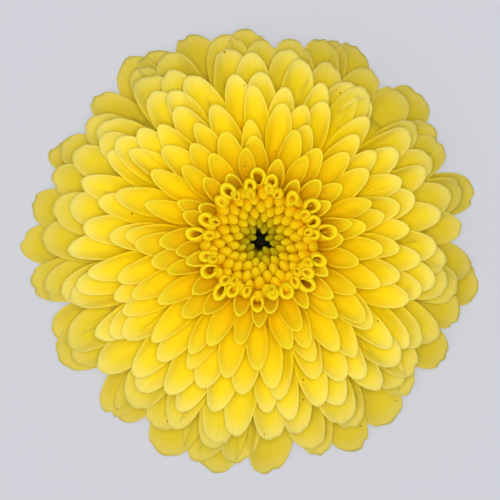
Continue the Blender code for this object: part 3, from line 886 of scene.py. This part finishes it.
class AddHeart(bpy.types.Operator):
    """Add the body of hidden petal bases inside the head"""

    bl_idname = "bloom.heart"
    bl_label = "Heart of the head"

    def execute(self, context):
        points, faces = turned(rounded(np.array(HEART_PROFILE_MM) * MM, 4), 64)
        radius = np.hypot(points[:, 0], points[:, 1])
        under = smooth(13 * MM, 11 * MM, points[:, 2])
        age = np.maximum(0.3 + 0.6 * smooth(15 * MM, 35 * MM, radius), under)
        # The along marks give the heart the petals' deep gold and, where young, their painted base shade.
        marks = {"age": age, "along": 0.3 + 0.5 * under, "across": 0 * radius, "pick": 0.5 + 0 * radius,
                 "edge_mm": FAR_FROM_EDGE_MM + 0 * radius}
        material = shared_material("Petal", petal_material)
        add_piece("petal_bases", points, faces, marks, material, "petals", "petals")
        return {"FINISHED"}


CUP_PROFILE_MM = ((0, 9.9), (9.2, 9.9), (9.0, 8.6), (7.6, 6.6), (5.2, 5.2), (2.9, 4.6), (0, 4.6))

# The bracts' rows, as (count, tip radius in mm, tip height in mm), and each bract
BRACT_ROWS = ((11, 15.5, 9.1), (9, 12.6, 7.4))
BRACT_ROW_TURN = 0.37
BRACT_ROOT = (5.2 * MM, 7.4 * MM)
BRACT_RISE = math.radians(11)
BRACT_HALF_WIDTH = 1.6 * MM
BRACT_HALF_TIP = 0.05 * MM
BRACT_HALF_THICKNESS = 0.28 * MM
BRACT_HOLLOW = 0.3 * MM


def bracts():
    """The calyx's bracts: narrow hollow sheets, (1 - t^2.4)^0.7 wide along t, in rows round the cup."""
    azimuth, root, tip = [], [], []
    for row, (count, radius, height) in enumerate(BRACT_ROWS):
        azimuth.append(2 * math.pi * (np.arange(count) + BRACT_ROW_TURN * row) / count)
        root.append(np.tile(BRACT_ROOT, (count, 1)))
        tip.append(np.tile((radius * MM, height * MM), (count, 1)))
    azimuth = np.concatenate(azimuth)
    whole = np.ones(len(azimuth))
    rise = BRACT_RISE * whole
    zero = 0 * whole
    leaves = Florets(azimuth, np.concatenate(root), np.concatenate(tip), rise, rise, whole, whole, zero, zero,
                     zero, zero, zero, zero, zero)
    t = np.linspace(0, 1, 16)[None, :, None]
    v = np.linspace(-1, 1, 9)[None, None]
    half = BRACT_HALF_WIDTH * np.clip(1 - t**2.4, 0.0, 1) ** 0.7 + BRACT_HALF_TIP
    across = v * half * whole[:, None, None]
    inward = BRACT_HOLLOW * v**2 * whole[:, None, None] + 0 * t
    spread = t * np.ones_like(across)
    offset = BRACT_HALF_THICKNESS * (1 - v**4)
    lower = placed(leaves, spread, across, inward - offset)
    upper = placed(leaves, spread, across, inward + offset)
    return closed_sheets(upper, lower, {"along": spread, "across": v * np.ones_like(spread)})


class AddCalyx(bpy.types.Operator):
    """Add the green calyx: its cup and its rows of bracts"""

    bl_idname = "bloom.calyx"
    bl_label = "Calyx"

    def execute(self, context):
        colours = context.scene.bloom_colours
        material = green_material("Bract", colours.bract, colours.bract_light, 900.0)
        points, faces = turned(rounded(np.array(CUP_PROFILE_MM) * MM, 4), 48)
        add_piece("calyx_cup", points, faces, {}, material, "calyx", "calyx")
        add_piece("bracts", *bracts(), material, "calyx", "calyx")
        return {"FINISHED"}


# The stub's side from its top down, as (radius, height), and its ribs
STUB_SIDE = ((2.8 * MM, STUB_TOP), (2.7 * MM, 0.6 * STUB_TOP), (2.5 * MM, 0.3 * MM), (2.4 * MM, 0))
STEM_RIBS = 9
RIB_DEPTH = 0.03


class AddStem(bpy.types.Operator):
    """Add the ribbed stub of the stem with its cut end"""

    bl_idname = "bloom.stem"
    bl_label = "Stem stub"

    def execute(self, context):
        colours = context.scene.bloom_colours
        material = green_material("Stem", colours.stem, colours.stem_light, 700.0)
        points, faces = turned(((0, STUB_TOP), *STUB_SIDE, (0, 0)), 60)
        angle = np.arctan2(points[:, 1], points[:, 0])
        points[:, :2] *= (1 + RIB_DEPTH * np.cos(STEM_RIBS * angle))[:, None]
        add_piece("stem_stub", points, faces, {}, material, "stem", "stem")
        return {"FINISHED"}


FLOOR_SIZE = 4.0
FLOOR_LIT_SHARE = 0.3
FLOOR_GLOW = 0.675
OVERHEAD_LIGHT = ((0.0, 0.0, 1.6), 0.45, (1.0, 0.985, 0.96))
SIDE_LIGHT = ((-0.5, -0.45, 1.2), 0.6, (1.0, 0.99, 0.97))
LIT_POINT = Vector((0, 0, 20 * MM))
SKY_COLOUR = (0.95, 0.97, 1.0, 1)
SENSOR_WIDTH = 36.0
RIM_HEIGHT = 8 * MM


def area_light(name, place, size, colour, power):
    """A soft square light that faces the bloom."""
    light = bpy.data.lights.new(name, "AREA")
    light.size = size
    light.energy = power
    light.color = colour
    lamp = bpy.data.objects.new(name, light)
    bpy.context.scene.collection.objects.link(lamp)
    lamp.location = place
    lamp.rotation_euler = (LIT_POINT - lamp.location).to_track_quat("-Z", "Y").to_euler()


class AddStage(bpy.types.Operator):
    """Add the pale floor, the soft light and the camera straight above the bloom"""

    bl_idname = "bloom.stage"
    bl_label = "Stage"

    def execute(self, context):
        scene = context.scene
        stage = scene.bloom_stage
        bpy.ops.mesh.primitive_plane_add(size=FLOOR_SIZE)
        floor = context.object
        floor.name = "floor"
        material, surface, _ = new_material("Pale surface", roughness=0.9, specular=0.0)
        surface["Base Color"].default_value = (*[FLOOR_LIT_SHARE * value for value in stage.floor], 1)
        surface["Emission Color"].default_value = (*stage.floor, 1)
        surface["Emission Strength"].default_value = FLOOR_GLOW
        floor.data.materials.append(material)
        area_light("overhead_light", *OVERHEAD_LIGHT, stage.key)
        area_light("side_light", *SIDE_LIGHT, stage.fill)
        world = bpy.data.worlds.new("Soft light")
        scene.world = world
        world.use_nodes = True
        sky = world.node_tree.nodes["Background"]
        sky.inputs["Color"].default_value = SKY_COLOUR
        sky.inputs["Strength"].default_value = stage.sky
        camera = bpy.data.cameras.new("camera")
        camera.sensor_width = SENSOR_WIDTH
        camera.lens = SENSOR_WIDTH * (stage.camera_height - RIM_HEIGHT) / stage.view_width
        camera.clip_end = 10
        seat = bpy.data.objects.new("camera", camera)
        scene.collection.objects.link(seat)
        seat.location = (*stage.view_centre, stage.camera_height)
        scene.camera = seat
        scene.view_settings.view_transform = "Standard"
        return {"FINISHED"}


PIECES = (AddHeart, AddOuterPetals, AddInnerPetals, AddRolledFlorets, AddYoungFlorets, AddCalyx, AddStem,
          AddStage)


class BloomPanel(bpy.types.Panel):
    """Lists the bloom's pieces, sizes and colours."""

    bl_idname = "BLOOM_PT_pieces"
    bl_label = "Pompon chrysanthemum"
    bl_space_type = "VIEW_3D"
    bl_region_type = "UI"
    bl_category = "Bloom"

    def draw(self, context):
        for piece in PIECES:
            self.layout.operator(piece.bl_idname)
        for group in (context.scene.bloom_sizes, context.scene.bloom_colours, context.scene.bloom_stage):
            box = self.layout.box()
            for name in group.__annotations__:
                box.prop(group, name)


CLASSES = (BloomColours, BloomSizes, StageSettings, *PIECES, BloomPanel)


def register():
    for cls in CLASSES:
        bpy.utils.register_class(cls)
    bpy.types.Scene.bloom_colours = PointerProperty(type=BloomColours)
    bpy.types.Scene.bloom_sizes = PointerProperty(type=BloomSizes)
    bpy.types.Scene.bloom_stage = PointerProperty(type=StageSettings)


def unregister():
    del bpy.types.Scene.bloom_stage
    del bpy.types.Scene.bloom_sizes
    del bpy.types.Scene.bloom_colours
    for cls in reversed(CLASSES):
        bpy.utils.unregister_class(cls)


def main():
    register()
    bpy.ops.bloom.heart()
    bpy.ops.bloom.outer_petals()
    bpy.ops.bloom.inner_petals()
    bpy.ops.bloom.rolled_florets()
    bpy.ops.bloom.young_florets()
    bpy.ops.bloom.calyx()
    bpy.ops.bloom.stem()
    bpy.ops.bloom.stage()


if __name__ == "__main__":
    main()
